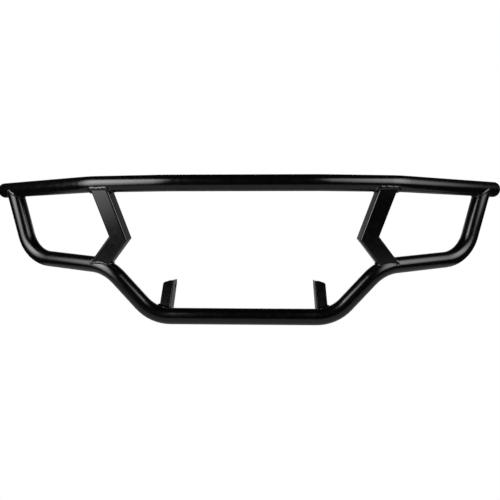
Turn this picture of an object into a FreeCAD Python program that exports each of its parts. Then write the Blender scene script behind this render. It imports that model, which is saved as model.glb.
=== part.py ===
import FreeCAD, Part
import math
import os

# Front grille guard: a welded frame of bent round tube with two chevrons of rectangular tube.
# X runs across the guard, Y runs back towards the vehicle, Z is up. Millimetres.
# The origin is the middle of the common axis of the two bracket bolts.
# Left and right are as seen from the front. The guard is symmetric about X = 0, so each
# paired piece is built on the right, at +X, and mirrored.

Vector = FreeCAD.Vector

# --- driving dimensions ---

TUBE_OD = 38.0
TUBE_WALL = 2.0
ARM_WIDTH = 40.0
ARM_DEPTH = 30.0
ARM_WALL = 2.0
ARM_CORNER = 4.5

# Brackets: a steel angle leaning back from the bottom bar, its top cut level and then sloped.
BRACKET_LEAN = 33.0
BRACKET_PLATE = 5.0
BRACKET_WIDTH = 25.0
BRACKET_DEPTH = 38.0
BRACKET_EDGE = 4.0
BRACKET_ROOT = 4.5
BRACKET_STOCK = 118.0
BRACKET_RISE = 79.5
BRACKET_LEVEL = 9.0
BRACKET_SLOPE = 17.0
BRACKET_FOOT = 2.0
BRACKET_FRONT = -10.5
BRACKET_OUTER_X = 197.0
BRACKET_OUTER_CORNER = 5.0
BRACKET_REAR_CORNER = 7.0
HOLE_RADIUS = 5.5
HOLE_UP = 86.0
HOLE_BACK = 14.5

# Heights and set-backs of the frame, from the axis of the bottom bar.
TOP_RISE = 306.5
TOP_FORWARD = 51.5

# Top tube: half-lengths to its bends and to its ends, and the plan angle of each part.
TOP_BEND_X = (175.0, 353.0)
TOP_ANGLE = (6.5, 23.0)
TOP_END_X = 625.5
TOP_BEND_RADIUS = (300.0, 130.0)

# Lower tube: corners of its axis as (X, back, up) from the bottom bar's axis.
BAR_CORNER = (210.0, 0.0, 0.0)
WING_CORNER = (321.0, 0.0, 116.5)
UPRIGHT_CORNER = (543.0, 70.5, 135.5)
UPRIGHT_TOP_X = 593.5
LOWER_BEND_RADIUS = (95.0, 95.0, 80.0)

# Chevrons: where the axis of each arm starts on the top tube, turns, and meets the lower tube.
CHEVRON_TOP_X = 330.8
CHEVRON_POINT = (287.6, 122.2)
CHEVRON_FOOT = (341.5, 6.5, 118.2)

# End plugs of the top tube.
PLUG_HEAD = 8.0
PLUG_ROUNDING = 7.5
PLUG_CLEARANCE = 0.15
PLUG_SHANK = 18.0
PLUG_SHANK_WALL = 2.0
PLUG_RIB_HEIGHT = 1.2
BUTTON_RADIUS = 5.5
BUTTON_HEIGHT = 2.5

# Weld beads: how far each runs up the branch and out over the tube, and round a bracket's angle.
WELD_LEG = 5.0
BRACKET_WELD_LEG = 3.6
SEAM_WIDTH = 3.0
SEAM_DEPTH = 1.2

TUBE_RADIUS = TUBE_OD / 2
LEAN = math.radians(BRACKET_LEAN)
ALONG = Vector(0, math.sin(LEAN), math.cos(LEAN))
ACROSS = Vector(0, math.cos(LEAN), -math.sin(LEAN))
BAR = (ALONG * HOLE_UP + ACROSS * HOLE_BACK) * -1
TOP = BAR + Vector(0, -TOP_FORWARD, TOP_RISE)


def mirrored(point):
    return Vector(-point.x, point.y, point.z)


def bent_path(corners, radii):
    """A wire of straight runs joined by tangent arcs, one radius for each inner corner."""
    edges = []
    start = corners[0]
    for before, corner, after, radius in zip(corners, corners[1:], corners[2:], radii):
        arrive = (corner - before).normalize()
        leave = (after - corner).normalize()
        turn = arrive.getAngle(leave)
        setback = radius * math.tan(turn / 2)
        arc_start = corner - arrive * setback
        arc_end = corner + leave * setback
        inward = (leave - arrive).normalize()
        middle = corner + inward * (radius / math.cos(turn / 2) - radius)
        edges.append(Part.makeLine(start, arc_start))
        edges.append(Part.Arc(arc_start, middle, arc_end).toShape())
        start = arc_end
    edges.append(Part.makeLine(start, corners[-1]))
    return Part.Wire(edges)


def rod_along(path, radius):
    """A solid round rod along a path."""
    first = path.Edges[0]
    origin = first.valueAt(first.FirstParameter)
    direction = first.tangentAt(first.FirstParameter)
    section = Part.Wire(Part.makeCircle(radius, origin, direction))
    return path.makePipeShell([section], True, False)


def tube_along(path):
    return rod_along(path, TUBE_RADIUS).cut(rod_along(path, TUBE_RADIUS - TUBE_WALL))


def rounded_bar(width, depth, corner, length):
    """A bar of rectangular section with rounded corners, from Z = 0 up, centred on the Z axis."""
    bar = Part.makeBox(width, depth, length, Vector(-width / 2, -depth / 2, 0))
    upright_edges = [edge for edge in bar.Edges if abs(edge.tangentAt(0).z) > 0.99]
    return bar.makeFillet(corner, upright_edges)


def placed(shape, origin, x_axis, y_axis, z_axis):
    """A copy of a shape, moved from the world's axes onto the given ones."""
    matrix = FreeCAD.Matrix(
        x_axis.x, y_axis.x, z_axis.x, origin.x,
        x_axis.y, y_axis.y, z_axis.y, origin.y,
        x_axis.z, y_axis.z, z_axis.z, origin.z,
        0, 0, 0, 1)
    copy = shape.copy()
    copy.Placement = FreeCAD.Placement(matrix)
    return copy


def largest(shape):
    return max(shape.Solids, key=lambda solid: solid.Volume)


def half_space(origin, direction):
    """A box large enough to hold everything on one side of a plane near its origin."""
    reach = 400.0
    helper = Vector(1, 0, 0) if abs(direction.x) < 0.9 else Vector(0, 1, 0)
    side = direction.cross(helper).normalize()
    box = Part.makeBox(2 * reach, 2 * reach, reach, Vector(-reach, -reach, 0))
    return placed(box, origin, side, direction.cross(side), direction)


# --- paths ---

def top_corners():
    """Right half of the top tube's axis, from the centre out to the end of the wing."""
    inner = math.radians(TOP_ANGLE[0])
    outer = math.radians(TOP_ANGLE[1])
    first = TOP + Vector(TOP_BEND_X[0], 0, 0)
    run = TOP_BEND_X[1] - TOP_BEND_X[0]
    second = first + Vector(run, run * math.tan(inner), 0)
    run = TOP_END_X - TOP_BEND_X[1]
    end = second + Vector(run, run * math.tan(outer), 0)
    return [first, second, end]


def lower_corners():
    """Right half of the lower tube's axis, from the bottom bar up to the top tube's axis."""
    points = [BAR + Vector(*corner) for corner in (BAR_CORNER, WING_CORNER, UPRIGHT_CORNER)]
    _, second, end = top_corners()
    share = (UPRIGHT_TOP_X - second.x) / (end.x - second.x)
    return points + [second + (end - second) * share]


def symmetric_path(right_corners, radii):
    left_corners = [mirrored(corner) for corner in reversed(right_corners)]
    return bent_path(left_corners + right_corners, list(reversed(radii)) + list(radii))


def chevron_points():
    """Ends and point of the right chevron's axis, in one plane square to the top tube's side."""
    first, second, _ = top_corners()
    share = (CHEVRON_TOP_X - first.x) / (second.x - first.x)
    head = first + (second - first) * share
    foot = BAR + Vector(*CHEVRON_FOOT)
    normal = (second - first).cross(foot - head).normalize()
    x = CHEVRON_POINT[0]
    z = head.z - CHEVRON_POINT[1]
    y = head.y - (normal.x * (x - head.x) + normal.z * (z - head.z)) / normal.y
    return head, Vector(x, y, z), foot, normal


# --- chevrons ---

def arm_bar(start, end, normal, swell=0.0):
    """A solid bar along one arm of the chevron, run past both ends, grown by swell all round."""
    axis = (end - start).normalize()
    side = normal.cross(axis).normalize()
    overrun = ARM_WIDTH
    bar = rounded_bar(ARM_WIDTH + 2 * swell, ARM_DEPTH + 2 * swell, ARM_CORNER + swell,
                      (end - start).Length + 2 * overrun)
    return placed(bar, start - axis * overrun, side, axis.cross(side), axis)


def mitre_normal(head, point, foot):
    """Unit normal of the mitre plane, pointing to the upper arm's side."""
    return ((head - point).normalize() - (foot - point).normalize()).normalize()


def point_seam(head, point, foot, normal):
    """The weld that fills a shallow groove round the mitre, flush with the tube's faces."""
    up = mitre_normal(head, point, foot)
    halves = []
    for start, end, side in ((head, point, up), (point, foot, up * -1)):
        skin = arm_bar(start, end, normal).cut(arm_bar(start, end, normal, -SEAM_DEPTH))
        near = half_space(point, side)
        far = half_space(point + side * (SEAM_WIDTH / 2), side * -1)
        halves.append(skin.common(near).common(far))
    return halves[0].fuse(halves[1]).removeSplitter().Solids[0]


def chevron_arm(start, end, normal, mitre_side, main_rod, seam):
    """One hollow arm: mitred at the point, coped to its round tube, and grooved for the seam."""
    hollow = arm_bar(start, end, normal).cut(arm_bar(start, end, normal, -ARM_WALL))
    return largest(hollow.common(mitre_side).cut(main_rod).cut(seam))


# --- brackets ---

def edges_through(shape, direction, place):
    """The straight edges along a direction that pass through a place."""
    found = []
    for edge in shape.Edges:
        if edge.Curve.TypeId != "Part::GeomLine":
            continue
        offset = edge.CenterOfMass - place
        across = offset - direction * offset.dot(direction)
        parallel = abs(edge.tangentAt(edge.FirstParameter).dot(direction)) > 0.99
        if parallel and across.Length < 0.01:
            found.append(edge)
    return found


def angle_bar(swell=0.0):
    """The bracket's angle before it is trimmed, grown by swell all round.

    It stands on Z = 0 with its side flange on the inner side and its front flange at the front.
    """
    inner_x = BRACKET_OUTER_X - BRACKET_WIDTH
    height = BRACKET_STOCK - BRACKET_FOOT
    z_axis = Vector(0, 0, 1)
    outside = Vector(inner_x - swell, BRACKET_FRONT - swell, BRACKET_FOOT)
    block = Part.makeBox(BRACKET_WIDTH + 2 * swell, BRACKET_DEPTH + 2 * swell, height, outside)
    block = block.makeFillet(BRACKET_EDGE + swell, edges_through(block, z_axis, outside))
    reach = BRACKET_PLATE + 2 * swell
    inside = outside + Vector(reach, reach, 0)
    pocket = Part.makeBox(BRACKET_WIDTH, BRACKET_DEPTH, height, inside)
    pocket = pocket.makeFillet(BRACKET_ROOT - swell, edges_through(pocket, z_axis, inside))
    return block.cut(pocket)


def leant(shape):
    return placed(shape, BAR, Vector(1, 0, 0), ACROSS, ALONG)


def bracket(bar_rod):
    """Right bracket: trimmed top, rounded corners, bolt hole, coped over the bottom bar."""
    inner_x = BRACKET_OUTER_X - BRACKET_WIDTH
    x_axis = Vector(1, 0, 0)
    slope = math.radians(BRACKET_SLOPE)
    top = BAR.z + BRACKET_RISE
    slope_start = Vector(inner_x + BRACKET_LEVEL, 0, top)
    angle = leant(angle_bar()).cut(half_space(slope_start, Vector(0, 0, 1)))
    angle = angle.cut(half_space(slope_start, Vector(math.sin(slope), 0, math.cos(slope))))
    drop = (BRACKET_OUTER_X - slope_start.x) * math.tan(slope)
    outer_top = Vector(BRACKET_OUTER_X, 0, top - drop)
    angle = angle.makeFillet(BRACKET_OUTER_CORNER, edges_through(angle, Vector(0, 1, 0), outer_top))
    rear = BRACKET_FRONT + BRACKET_DEPTH
    rear_rise = (BRACKET_RISE + rear * math.sin(LEAN)) / math.cos(LEAN)
    for up in (BRACKET_FOOT, rear_rise):
        corner = BAR + ALONG * up + ACROSS * rear
        angle = angle.makeFillet(BRACKET_REAR_CORNER, edges_through(angle, x_axis, corner))
    hole = Part.makeCylinder(HOLE_RADIUS, 2 * BRACKET_PLATE,
                             Vector(inner_x - BRACKET_PLATE / 2, 0, 0), x_axis)
    return largest(angle.cut(hole).cut(bar_rod))


# --- end plugs ---

def end_plug():
    """Right plug: domed head on the tube's end, hollow ribbed shank inside the tube."""
    _, second, end = top_corners()
    outward = (end - second).normalize()
    shank_radius = TUBE_RADIUS - TUBE_WALL - PLUG_CLEARANCE
    body = Part.makeCylinder(TUBE_RADIUS, PLUG_HEAD)
    rim = [edge for edge in body.Edges if abs(edge.CenterOfMass.z - PLUG_HEAD) < 0.01]
    body = body.makeFillet(PLUG_ROUNDING, rim)
    sphere_radius = (BUTTON_RADIUS ** 2 + BUTTON_HEIGHT ** 2) / (2 * BUTTON_HEIGHT)
    button = Part.makeSphere(sphere_radius, Vector(0, 0, PLUG_HEAD + BUTTON_HEIGHT - sphere_radius))
    button = button.common(Part.makeCylinder(BUTTON_RADIUS, BUTTON_HEIGHT, Vector(0, 0, PLUG_HEAD)))
    shank = Part.makeCylinder(shank_radius - PLUG_RIB_HEIGHT, PLUG_SHANK, Vector(0, 0, -PLUG_SHANK))
    plug = body.fuse([button, shank])
    for step in range(3):
        base = -PLUG_SHANK + (step + 0.5) * PLUG_SHANK / 3
        rib = Part.makeCone(shank_radius - PLUG_RIB_HEIGHT, shank_radius, PLUG_SHANK / 6,
                            Vector(0, 0, base))
        plug = plug.fuse(rib)
    hollow = Part.makeCylinder(shank_radius - PLUG_RIB_HEIGHT - PLUG_SHANK_WALL, PLUG_SHANK,
                               Vector(0, 0, -PLUG_SHANK))
    plug = plug.cut(hollow).removeSplitter()
    side = Vector(0, 0, 1).cross(outward).normalize()
    return placed(plug, end, side, outward.cross(side), outward).Solids[0]


# --- welds ---

def joint_weld(main_fat, branch_fat, main_rod, branch_rod, main_point, main_axis, towards):
    """The bead in the corner between a tube and a branch that stands on it.

    It is inside both pieces grown by the bead's size, outside both real ones, and on the
    branch's side of the main tube's axis.
    """
    up = (towards - main_axis * towards.dot(main_axis)).normalize()
    bead = main_fat.common(branch_fat).common(half_space(main_point, up))
    return largest(bead.cut(main_rod).cut(branch_rod))


def bracket_weld(bar_fat, bar_rod):
    """The bead round the bracket's foot, kept clear of the side flange's mating face."""
    x_axis = Vector(1, 0, 0)
    mating_face = Vector(BRACKET_OUTER_X - BRACKET_WIDTH, 0, 0)
    bead = joint_weld(bar_fat, leant(angle_bar(BRACKET_WELD_LEG)), bar_rod, leant(angle_bar()),
                      BAR + ALONG * BRACKET_FOOT, x_axis, ALONG)
    return largest(bead.common(half_space(mating_face, x_axis)))


def straight_rod(start, end, radius):
    return rod_along(Part.Wire([Part.makeLine(start, end)]), radius)


def build():
    parts = {}
    top_path = symmetric_path(top_corners(), TOP_BEND_RADIUS)
    lower_path = symmetric_path(lower_corners(), LOWER_BEND_RADIUS)
    top_rod = rod_along(top_path, TUBE_RADIUS)
    lower_rod = rod_along(lower_path, TUBE_RADIUS)
    parts["top_tube"] = tube_along(top_path)
    parts["lower_tube"] = largest(tube_along(lower_path).cut(top_rod))

    head, point, foot, normal = chevron_points()
    up = mitre_normal(head, point, foot)
    seam = point_seam(head, point, foot, normal)
    right = {}
    right["chevron_upper_arm"] = chevron_arm(head, point, normal, half_space(point, up), top_rod, seam)
    right["chevron_lower_arm"] = chevron_arm(
        point, foot, normal, half_space(point, up * -1), lower_rod, seam)
    right["chevron_point_weld"] = seam

    first, bend, tip = top_corners()
    corners = lower_corners()
    fat_radius = TUBE_RADIUS + WELD_LEG
    top_fat = rod_along(top_path, fat_radius)
    lower_fat = rod_along(lower_path, fat_radius)
    right["chevron_top_weld"] = joint_weld(
        top_fat, arm_bar(head, point, normal, WELD_LEG), top_rod, arm_bar(head, point, normal),
        head, (bend - first).normalize(), point - head)
    right["chevron_bottom_weld"] = joint_weld(
        lower_fat, arm_bar(point, foot, normal, WELD_LEG), lower_rod, arm_bar(point, foot, normal),
        foot, (corners[2] - corners[1]).normalize(), point - foot)
    right["upright_weld"] = joint_weld(
        straight_rod(bend, tip, fat_radius), straight_rod(corners[-2], corners[-1], fat_radius),
        straight_rod(bend, tip, TUBE_RADIUS), straight_rod(corners[-2], corners[-1], TUBE_RADIUS),
        corners[-1], (tip - bend).normalize(), corners[-2] - corners[-1])
    right["mount_bracket"] = bracket(lower_rod)
    right["bracket_weld"] = bracket_weld(lower_fat, lower_rod)
    right["end_plug"] = end_plug()

    for name, shape in right.items():
        parts["right_" + name] = shape
        parts["left_" + name] = shape.mirror(Vector(0, 0, 0), Vector(1, 0, 0))
    return parts


def main():
    os.makedirs("parts", exist_ok=True)
    for name, shape in build().items():
        shape.exportStep("parts/" + name + ".step")
        print(name, len(shape.Solids), shape.isValid(), round(shape.Volume / 1000, 2), "cm3")


main()
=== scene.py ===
import math

import bpy
from mathutils import Euler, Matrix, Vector, noise
from mathutils.bvhtree import BVHTree


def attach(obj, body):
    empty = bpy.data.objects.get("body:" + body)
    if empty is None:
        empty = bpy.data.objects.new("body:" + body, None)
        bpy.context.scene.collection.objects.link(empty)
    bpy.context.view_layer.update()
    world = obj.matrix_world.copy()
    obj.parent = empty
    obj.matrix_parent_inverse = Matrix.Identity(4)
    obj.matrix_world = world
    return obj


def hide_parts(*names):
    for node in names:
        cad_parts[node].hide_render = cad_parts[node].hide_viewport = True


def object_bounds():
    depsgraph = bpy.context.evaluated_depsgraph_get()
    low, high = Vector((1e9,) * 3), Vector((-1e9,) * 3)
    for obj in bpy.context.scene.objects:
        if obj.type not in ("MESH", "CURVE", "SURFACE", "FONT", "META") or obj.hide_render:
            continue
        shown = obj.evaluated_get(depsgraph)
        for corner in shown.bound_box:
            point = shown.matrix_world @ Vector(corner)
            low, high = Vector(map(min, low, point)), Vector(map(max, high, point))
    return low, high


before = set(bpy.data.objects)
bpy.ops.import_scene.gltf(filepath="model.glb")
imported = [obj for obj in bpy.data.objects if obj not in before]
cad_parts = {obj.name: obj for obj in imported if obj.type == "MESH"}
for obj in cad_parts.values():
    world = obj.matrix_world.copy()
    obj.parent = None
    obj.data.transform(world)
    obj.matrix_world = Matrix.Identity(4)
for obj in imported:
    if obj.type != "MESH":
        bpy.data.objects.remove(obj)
cad_low, cad_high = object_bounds()

# Looks of the front grille guard: coatings, rippled weld beads, and a small white studio.
# Metres, in the part's own frame: X across, Y back towards the vehicle, Z up.

CAMERA_PLACE = (0.0496, -1.0418, 0.1138)
CAMERA_TURN = (92.6195, -0.0865, 1.7250)
CAMERA_LENS_MM = 30.06
CAMERA_SENSOR_MM = 36.0
CAMERA_SHIFT = (-0.0035, -0.0580)

# Coatings: the black they share, how dark and light its mottling goes, the extra share of blue,
# the bands of the noise that the colour and the gloss follow, and how far the gloss varies.
COAT_BLACK = 0.004
MOTTLE_SHARES = (0.8, 1.2)
BLUE_SHARE = 0.05
MOTTLE_BAND = (0.35, 0.65)
GLOSS_BAND = (0.3, 0.7)
GLOSS_SPREAD = 0.03

# Weld beads: the leg up the branch, the leg out over the main tube, and the crown's height.
CHEVRON_TOP_BEAD = (0.0016, 0.0085, 0.0018)
CHEVRON_BOTTOM_BEAD = (0.0032, 0.0032, 0.0011)
UPRIGHT_BEAD = (0.0042, 0.0026, 0.0012)
BRACKET_BEAD = (0.0040, 0.0050, 0.0012)

# A bead's root line: how near a weld's corner lies to a piece it touches, the spacing of the
# line's points and its smoothing.
TOUCH = 0.00015
BEAD_STEP = 0.0005
ROOT_PASSES = 10

# A bead's sections: how far up the branch its surface is read, the smoothing of the edges, how
# deep the base is sunk, and the sides of the crown.
BEAD_REACH = 0.005
TOE_PASSES = 3
BEAD_SINK = 0.0005
BEAD_SIDES = 10

# Ripples cross a bead and lag towards its middle, lumps swell it, and an open bead tapers at
# its ends to a share of its size.
RIPPLE_PITCH = 0.0036
RIPPLE_DEPTH = 0.0003
RIPPLE_LAG = 0.5
LUMP_SIZE = 0.007
LUMP_SHARE = 0.35
CROWN_NOISE_SHIFT = Vector((7, 3, 1))
END_TAPER = 0.005
END_SHARE = 0.4

BRACKET_HALF_PLATE = 0.0025

# Studio: the lights stand round a point in the guard, over a pale table.
LIGHT_CENTRE = (0.0, -0.05, 0.10)
LIGHT_DISTANCE = 1.6
FLOOR_DROP = 0.45
STAGE_RADIUS = 30.0
WHITE_GLOW = 1.0
TABLE_HALF_SIZE = (1.25, 1.2)
TABLE_LIFT = 0.001
TABLE_GLOW = 0.425
WALL_HALF_WIDTH = 2.8
WALL_HEIGHT = 1.8
WALL_BACK = 1.7
WALL_GLOW = 0.26
WORLD_GLOW = 0.02


# --- materials ---

def new_material(name):
    material = bpy.data.materials.new(name)
    material.use_nodes = True
    return material, material.node_tree.nodes, material.node_tree.links


def noise_texture(nodes, links, place, scale, detail):
    texture = nodes.new("ShaderNodeTexNoise")
    texture.inputs["Scale"].default_value = scale
    texture.inputs["Detail"].default_value = detail
    links.new(place.outputs["Object"], texture.inputs["Vector"])
    return texture


def mottled_black(nodes):
    """A colour ramp from a slightly darker to a slightly lighter black."""
    colour = nodes.new("ShaderNodeValToRGB")
    for element, position, share in zip(colour.color_ramp.elements, MOTTLE_BAND, MOTTLE_SHARES):
        element.position = position
        element.color = (COAT_BLACK * share, COAT_BLACK * share, COAT_BLACK * (share + BLUE_SHARE), 1)
    return colour


def coat_material(name, roughness, spots, peel_size, peel_height):
    """Black coating: fine mottled colour, uneven gloss and an orange-peel surface."""
    material, nodes, links = new_material(name)
    shader = nodes["Principled BSDF"]
    place = nodes.new("ShaderNodeTexCoord")

    mottle = noise_texture(nodes, links, place, spots, 4.0)
    colour = mottled_black(nodes)
    links.new(mottle.outputs["Fac"], colour.inputs["Fac"])
    links.new(colour.outputs["Color"], shader.inputs["Base Color"])

    gloss = nodes.new("ShaderNodeMapRange")
    gloss.inputs["From Min"].default_value = GLOSS_BAND[0]
    gloss.inputs["From Max"].default_value = GLOSS_BAND[1]
    gloss.inputs["To Min"].default_value = roughness - GLOSS_SPREAD
    gloss.inputs["To Max"].default_value = roughness + GLOSS_SPREAD
    links.new(mottle.outputs["Fac"], gloss.inputs["Value"])
    links.new(gloss.outputs["Result"], shader.inputs["Roughness"])

    peel = noise_texture(nodes, links, place, 1.0 / peel_size, 2.0)
    bump = nodes.new("ShaderNodeBump")
    bump.inputs["Strength"].default_value = 1.0
    bump.inputs["Distance"].default_value = peel_height
    links.new(peel.outputs["Fac"], bump.inputs["Height"])
    links.new(bump.outputs["Normal"], shader.inputs["Normal"])
    return material


powder_coat = coat_material("powder_coat", roughness=0.19, spots=90.0,
                            peel_size=0.0025, peel_height=0.0000025)
weld_coat = coat_material("weld_coat", roughness=0.20, spots=200.0,
                          peel_size=0.0012, peel_height=0.000008)
plug_plastic = coat_material("plug_plastic", roughness=0.38, spots=300.0,
                             peel_size=0.0006, peel_height=0.000003)

for name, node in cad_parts.items():
    if name.endswith("plug"):
        material = plug_plastic
    elif name.endswith("weld"):
        material = weld_coat
    else:
        material = powder_coat
    for slot in node.material_slots:
        slot.material = material


# --- weld beads ---

def search_tree(name):
    """A search tree over a CAD node's mesh."""
    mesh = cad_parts[name].data
    places = [vertex.co.copy() for vertex in mesh.vertices]
    return BVHTree.FromPolygons(places, [tuple(face.vertices) for face in mesh.polygons])


def mean(places):
    return sum(places, Vector()) / len(places)


def root_places(weld, branch_tree, main_tree):
    """Where a CAD weld touches both pieces it joins, and the direction from there up the branch."""
    root, toe = [], []
    for place in {tuple(vertex.co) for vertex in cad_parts[weld].data.vertices}:
        place = Vector(place)
        if branch_tree.find_nearest(place)[3] < TOUCH:
            if main_tree.find_nearest(place)[3] < TOUCH:
                root.append(place)
            else:
                toe.append(place)
    return root, (mean(toe) - mean(root)).normalized()


def sorted_around(places, hub, up, start):
    """Places by their angle about the up axis through a hub, counted from a start direction."""
    start = (start - up * start.dot(up)).normalized()
    side = up.cross(start)
    return sorted(places, key=lambda place: math.atan2((hub - place).dot(side), (hub - place).dot(start)))


def evenly_spaced(places, closed):
    """Points every BEAD_STEP along a line of places."""
    if closed:
        places = places + places[:1]
    reach = [0.0]
    for start, end in zip(places, places[1:]):
        reach.append(reach[-1] + (end - start).length)
    count = round(reach[-1] / BEAD_STEP)
    even = []
    run = 0
    for step in range(count if closed else count + 1):
        target = reach[-1] * step / count
        while reach[run + 1] < target and run < len(places) - 2:
            run += 1
        share = (target - reach[run]) / max(reach[run + 1] - reach[run], 1e-9)
        even.append(places[run].lerp(places[run + 1], share))
    return even


def neighbours(places, index, closed):
    if closed:
        return places[index - 1], places[(index + 1) % len(places)]
    return places[max(index - 1, 0)], places[min(index + 1, len(places) - 1)]


def smoothed(places, closed, passes):
    for _ in range(passes):
        eased = []
        for index, place in enumerate(places):
            before, after = neighbours(places, index, closed)
            eased.append((before + place * 2 + after) / 4)
        places = eased
    return places


def bead_toes(line, up, closed, branch_tree, main_tree, legs):
    """Along a bead's root line: its edge on the branch, the branch's outward direction there,
    its edge on the main tube and the tube's outward direction."""
    rows = []
    for index, root in enumerate(line):
        before, after = neighbours(line, index, closed)
        along = (after - before).normalized()
        arm_out = branch_tree.find_nearest(root + up * BEAD_REACH)[1]
        tube_out = main_tree.find_nearest(root)[1]
        size = 1 + LUMP_SHARE * noise.noise(root / LUMP_SIZE)
        if not closed:
            from_end = min(index, len(line) - 1 - index) * BEAD_STEP
            size *= END_SHARE + (1 - END_SHARE) * min(from_end / END_TAPER, 1.0)
        arm_toe = root + arm_out.cross(along) * legs[0] * size
        tube_toe = root + along.cross(tube_out) * legs[1] * size
        rows.append((branch_tree.find_nearest(arm_toe)[0], arm_out,
                     main_tree.find_nearest(tube_toe)[0], tube_out))
    return [smoothed(list(column), closed, TOE_PASSES) for column in zip(*rows)]


def bead_rings(line, toes, crown_height):
    """Closed sections of a bead along its root line: a rippled crown and a base sunk in the metal."""
    ripples = round(len(line) * BEAD_STEP / RIPPLE_PITCH)
    rings = []
    for index, (root, arm_toe, arm_out, tube_toe, tube_out) in enumerate(zip(line, *toes)):
        out = (arm_out + tube_out).normalized()
        crown = crown_height * (1 + LUMP_SHARE * noise.noise(root / LUMP_SIZE + CROWN_NOISE_SHIFT))
        ring = [arm_toe - arm_out * BEAD_SINK]
        for side in range(BEAD_SIDES + 1):
            share = side / BEAD_SIDES
            rise = math.sin(math.pi * share)
            phase = ripples * index / len(line) + RIPPLE_LAG * rise
            ripple = RIPPLE_DEPTH * abs(math.cos(math.pi * phase)) * rise
            ring.append(arm_toe.lerp(tube_toe, share) + out * (crown * rise + ripple))
        ring.append(tube_toe - tube_out * BEAD_SINK)
        ring.append(root - out * BEAD_SINK)
        rings.append(ring)
    return rings


def skin_of(name, rings, closed):
    """A mesh object skinned over rings of points, capped where the line is open."""
    width = len(rings[0])
    faces = []
    for row in range(len(rings) if closed else len(rings) - 1):
        near = row * width
        far = (row + 1) % len(rings) * width
        for column in range(width):
            beside = (column + 1) % width
            faces.append((near + column, near + beside, far + beside, far + column))
    if not closed:
        faces.append(tuple(range(width - 1, -1, -1)))
        faces.append(tuple(range(len(rings) * width - width, len(rings) * width)))
    mesh = bpy.data.meshes.new(name)
    mesh.from_pydata([place for ring in rings for place in ring], [], faces)
    mesh.polygons.foreach_set("use_smooth", [True] * len(mesh.polygons))
    obj = bpy.data.objects.new(name, mesh)
    bpy.context.collection.objects.link(obj)
    return obj


def weld_bead(weld, branch, main, form, open_side=None):
    """A rippled bead in place of a CAD weld. It stops at the open side, where one is given."""
    arm_leg, tube_leg, crown_height = form
    branch_tree, main_tree = search_tree(branch), search_tree(main)
    root, up = root_places(weld, branch_tree, main_tree)
    closed = open_side is None
    hub = mean(root)
    start = Vector((1, 0, 0))
    if not closed:
        inner = min(root, key=lambda place: abs(place.x))
        hub = inner + Vector((-open_side.x, 1, 0)) * BRACKET_HALF_PLATE
        start = open_side
    line = evenly_spaced(sorted_around(root, hub, up, start), closed)
    line = smoothed(line, closed, ROOT_PASSES)
    toes = bead_toes(line, up, closed, branch_tree, main_tree, (arm_leg, tube_leg))
    bead = skin_of(weld.replace("weld", "bead"), bead_rings(line, toes, crown_height), closed)
    bead.data.materials.append(weld_coat)
    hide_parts(weld)
    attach(bead, "root")


for side, inward in (("left", 1), ("right", -1)):
    weld_bead(side + "_chevron_top_weld", side + "_chevron_upper_arm", "top_tube", CHEVRON_TOP_BEAD)
    weld_bead(side + "_chevron_bottom_weld", side + "_chevron_lower_arm", "lower_tube",
              CHEVRON_BOTTOM_BEAD)
    weld_bead(side + "_upright_weld", "lower_tube", "top_tube", UPRIGHT_BEAD)
    weld_bead(side + "_bracket_weld", side + "_mount_bracket", "lower_tube", BRACKET_BEAD,
              open_side=Vector((inward, 0, 0)))


# --- stage ---

def glow_material(name, strength):
    material, nodes, links = new_material(name)
    material.cycles.emission_sampling = "NONE"
    nodes.remove(nodes["Principled BSDF"])
    glow = nodes.new("ShaderNodeEmission")
    glow.inputs["Strength"].default_value = strength
    links.new(glow.outputs["Emission"], nodes["Material Output"].inputs["Surface"])
    return material


def plane(name, low, high, z):
    """A flat stage rectangle from one corner to the opposite one, at height z."""
    mesh = bpy.data.meshes.new(name)
    corners = [(low[0], low[1], z), (high[0], low[1], z), (high[0], high[1], z), (low[0], high[1], z)]
    mesh.from_pydata(corners, [], [(0, 1, 2, 3)])
    obj = bpy.data.objects.new(name, mesh)
    bpy.context.collection.objects.link(obj)
    return obj


def only_seen_by_camera(obj):
    obj.visible_diffuse = False
    obj.visible_glossy = False
    obj.visible_shadow = False


floor_z = cad_low.z - FLOOR_DROP
floor = plane("floor", (-STAGE_RADIUS, -STAGE_RADIUS), (STAGE_RADIUS, STAGE_RADIUS), floor_z)
floor.data.materials.append(glow_material("floor_white", WHITE_GLOW))
only_seen_by_camera(floor)

bpy.ops.mesh.primitive_uv_sphere_add(radius=STAGE_RADIUS, segments=32, ring_count=16)
backdrop = bpy.context.object
backdrop.name = "backdrop"
backdrop.data.materials.append(glow_material("backdrop_white", WHITE_GLOW))
only_seen_by_camera(backdrop)

table_x, table_y = TABLE_HALF_SIZE
table = plane("table", (-table_x, -table_y), (table_x, table_y), floor_z + TABLE_LIFT)
table.data.materials.append(glow_material("table_glow", TABLE_GLOW))
table.visible_camera = False

back_wall = plane("back_wall", (-WALL_HALF_WIDTH, 0.0), (WALL_HALF_WIDTH, WALL_HEIGHT), 0.0)
back_wall.rotation_euler = (math.radians(90), 0, 0)
back_wall.location = (0, WALL_BACK, floor_z)
back_wall.data.materials.append(glow_material("back_wall_glow", WALL_GLOW))
back_wall.visible_camera = False


# --- light ---

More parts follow.
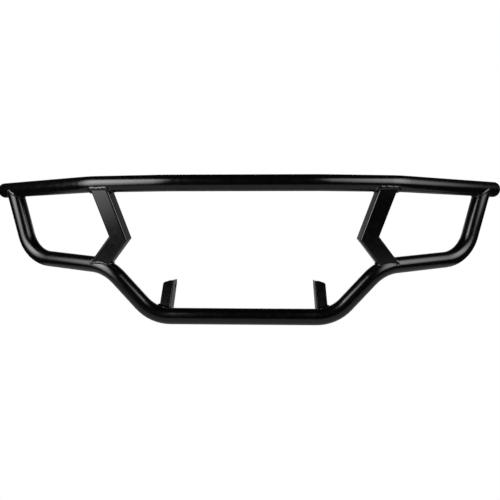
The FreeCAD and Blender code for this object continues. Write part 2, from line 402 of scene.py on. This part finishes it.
def hot_spot_material(name, glow, fade_across, fade_up, hot_spot_up):
    """A glow that falls evenly from a hot spot to nothing at the fade distances across and up."""
    material, nodes, links = new_material(name)
    nodes.remove(nodes["Principled BSDF"])
    place = nodes.new("ShaderNodeTexCoord")
    spot = nodes.new("ShaderNodeMapping")
    spot.vector_type = "TEXTURE"
    spot.inputs["Location"].default_value = (0, hot_spot_up, 0)
    spot.inputs["Scale"].default_value = (fade_across, fade_up, 1)
    links.new(place.outputs["Object"], spot.inputs["Vector"])
    fall = nodes.new("ShaderNodeTexGradient")
    fall.gradient_type = "SPHERICAL"
    links.new(spot.outputs["Vector"], fall.inputs["Vector"])
    level = nodes.new("ShaderNodeMath")
    level.operation = "MULTIPLY"
    level.inputs[1].default_value = glow
    links.new(fall.outputs["Fac"], level.inputs[0])
    emission = nodes.new("ShaderNodeEmission")
    links.new(level.outputs["Value"], emission.inputs["Strength"])
    links.new(emission.outputs["Emission"], nodes["Material Output"].inputs["Surface"])
    return material


def softbox(name, azimuth, elevation, width, height, glow, fade_across, fade_up, hot_spot_up):
    """A glowing card that faces the guard, seen only in reflections.

    Azimuth 0 is straight in front of the guard and 90 is on its right; both angles in degrees.
    """
    turn = math.radians(azimuth)
    rise = math.radians(elevation)
    outward = Vector((math.sin(turn) * math.cos(rise), -math.cos(turn) * math.cos(rise), math.sin(rise)))
    card = plane(name, (-width / 2, -height / 2), (width / 2, height / 2), 0)
    card.location = Vector(LIGHT_CENTRE) + outward * LIGHT_DISTANCE
    card.rotation_euler = outward.to_track_quat("Z", "Y").to_euler()
    card.data.materials.append(hot_spot_material(name, glow, fade_across, fade_up, hot_spot_up))
    card.visible_camera = False
    card.visible_diffuse = False
    card.visible_shadow = False


softbox("softbox_left", azimuth=-48.5, elevation=14.4, width=1.4, height=1.8, glow=10.25,
        fade_across=0.8, fade_up=1.25, hot_spot_up=0.23)
softbox("softbox_right", azimuth=53, elevation=25.5, width=1.87, height=1.3, glow=7.0,
        fade_across=0.9, fade_up=1.2, hot_spot_up=0.05)
softbox("softbox_rear", azimuth=180, elevation=7, width=1.2, height=0.45, glow=3.0,
        fade_across=0.9, fade_up=0.6, hot_spot_up=0.0)

world = bpy.data.worlds.new("studio")
world.use_nodes = True
world.node_tree.nodes["Background"].inputs["Color"].default_value = (1, 1, 1, 1)
world.node_tree.nodes["Background"].inputs["Strength"].default_value = WORLD_GLOW
bpy.context.scene.world = world
bpy.context.scene.view_settings.view_transform = "Standard"


# --- camera ---

camera_data = bpy.data.cameras.new("camera")
camera_data.lens = CAMERA_LENS_MM
camera_data.sensor_width = CAMERA_SENSOR_MM
camera_data.shift_x, camera_data.shift_y = CAMERA_SHIFT
camera = bpy.data.objects.new("camera", camera_data)
camera.location = CAMERA_PLACE
camera.rotation_euler = Euler([math.radians(angle) for angle in CAMERA_TURN])
bpy.context.collection.objects.link(camera)
bpy.context.scene.camera = camera
